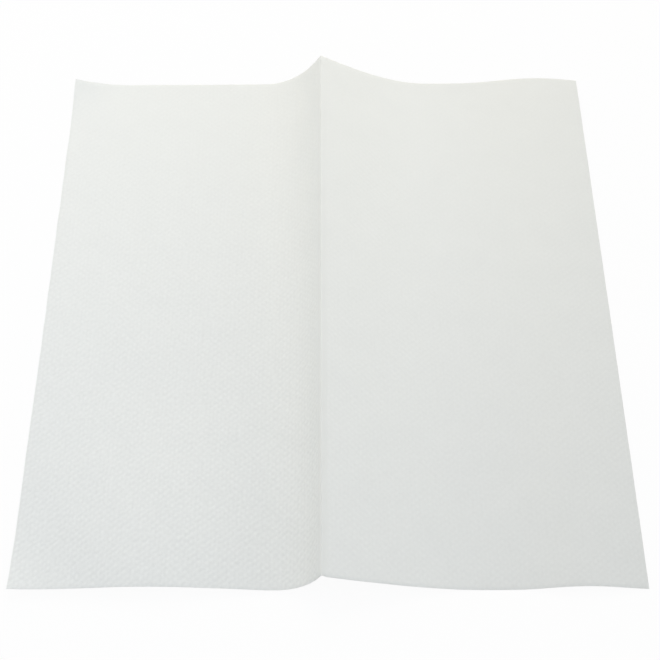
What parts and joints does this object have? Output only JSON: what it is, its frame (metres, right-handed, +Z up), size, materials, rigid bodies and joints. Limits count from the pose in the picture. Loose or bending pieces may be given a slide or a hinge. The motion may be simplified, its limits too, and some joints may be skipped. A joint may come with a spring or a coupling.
{
  "type": "z-fold paper towel",
  "caption": "Embossed folded paper hand towel, opened out and laid on a table, with its crease standing up as a ridge between flat panels.",
  "frame": {"origin": "on the table, under the middle of the sheet's box", "axes": "+X across the crease towards the gently sloping panel, +Y along the crease towards its higher end, +Z up"},
  "size_m": [0.2165, 0.23, 0.0177],
  "materials": {
    "embossed_tissue": "matt white tissue, embossed all over with small staggered dots"
  },
  "bodies": {
    "root": {"towel_sheet": "embossed_tissue"}
  },
  "joints": []
}
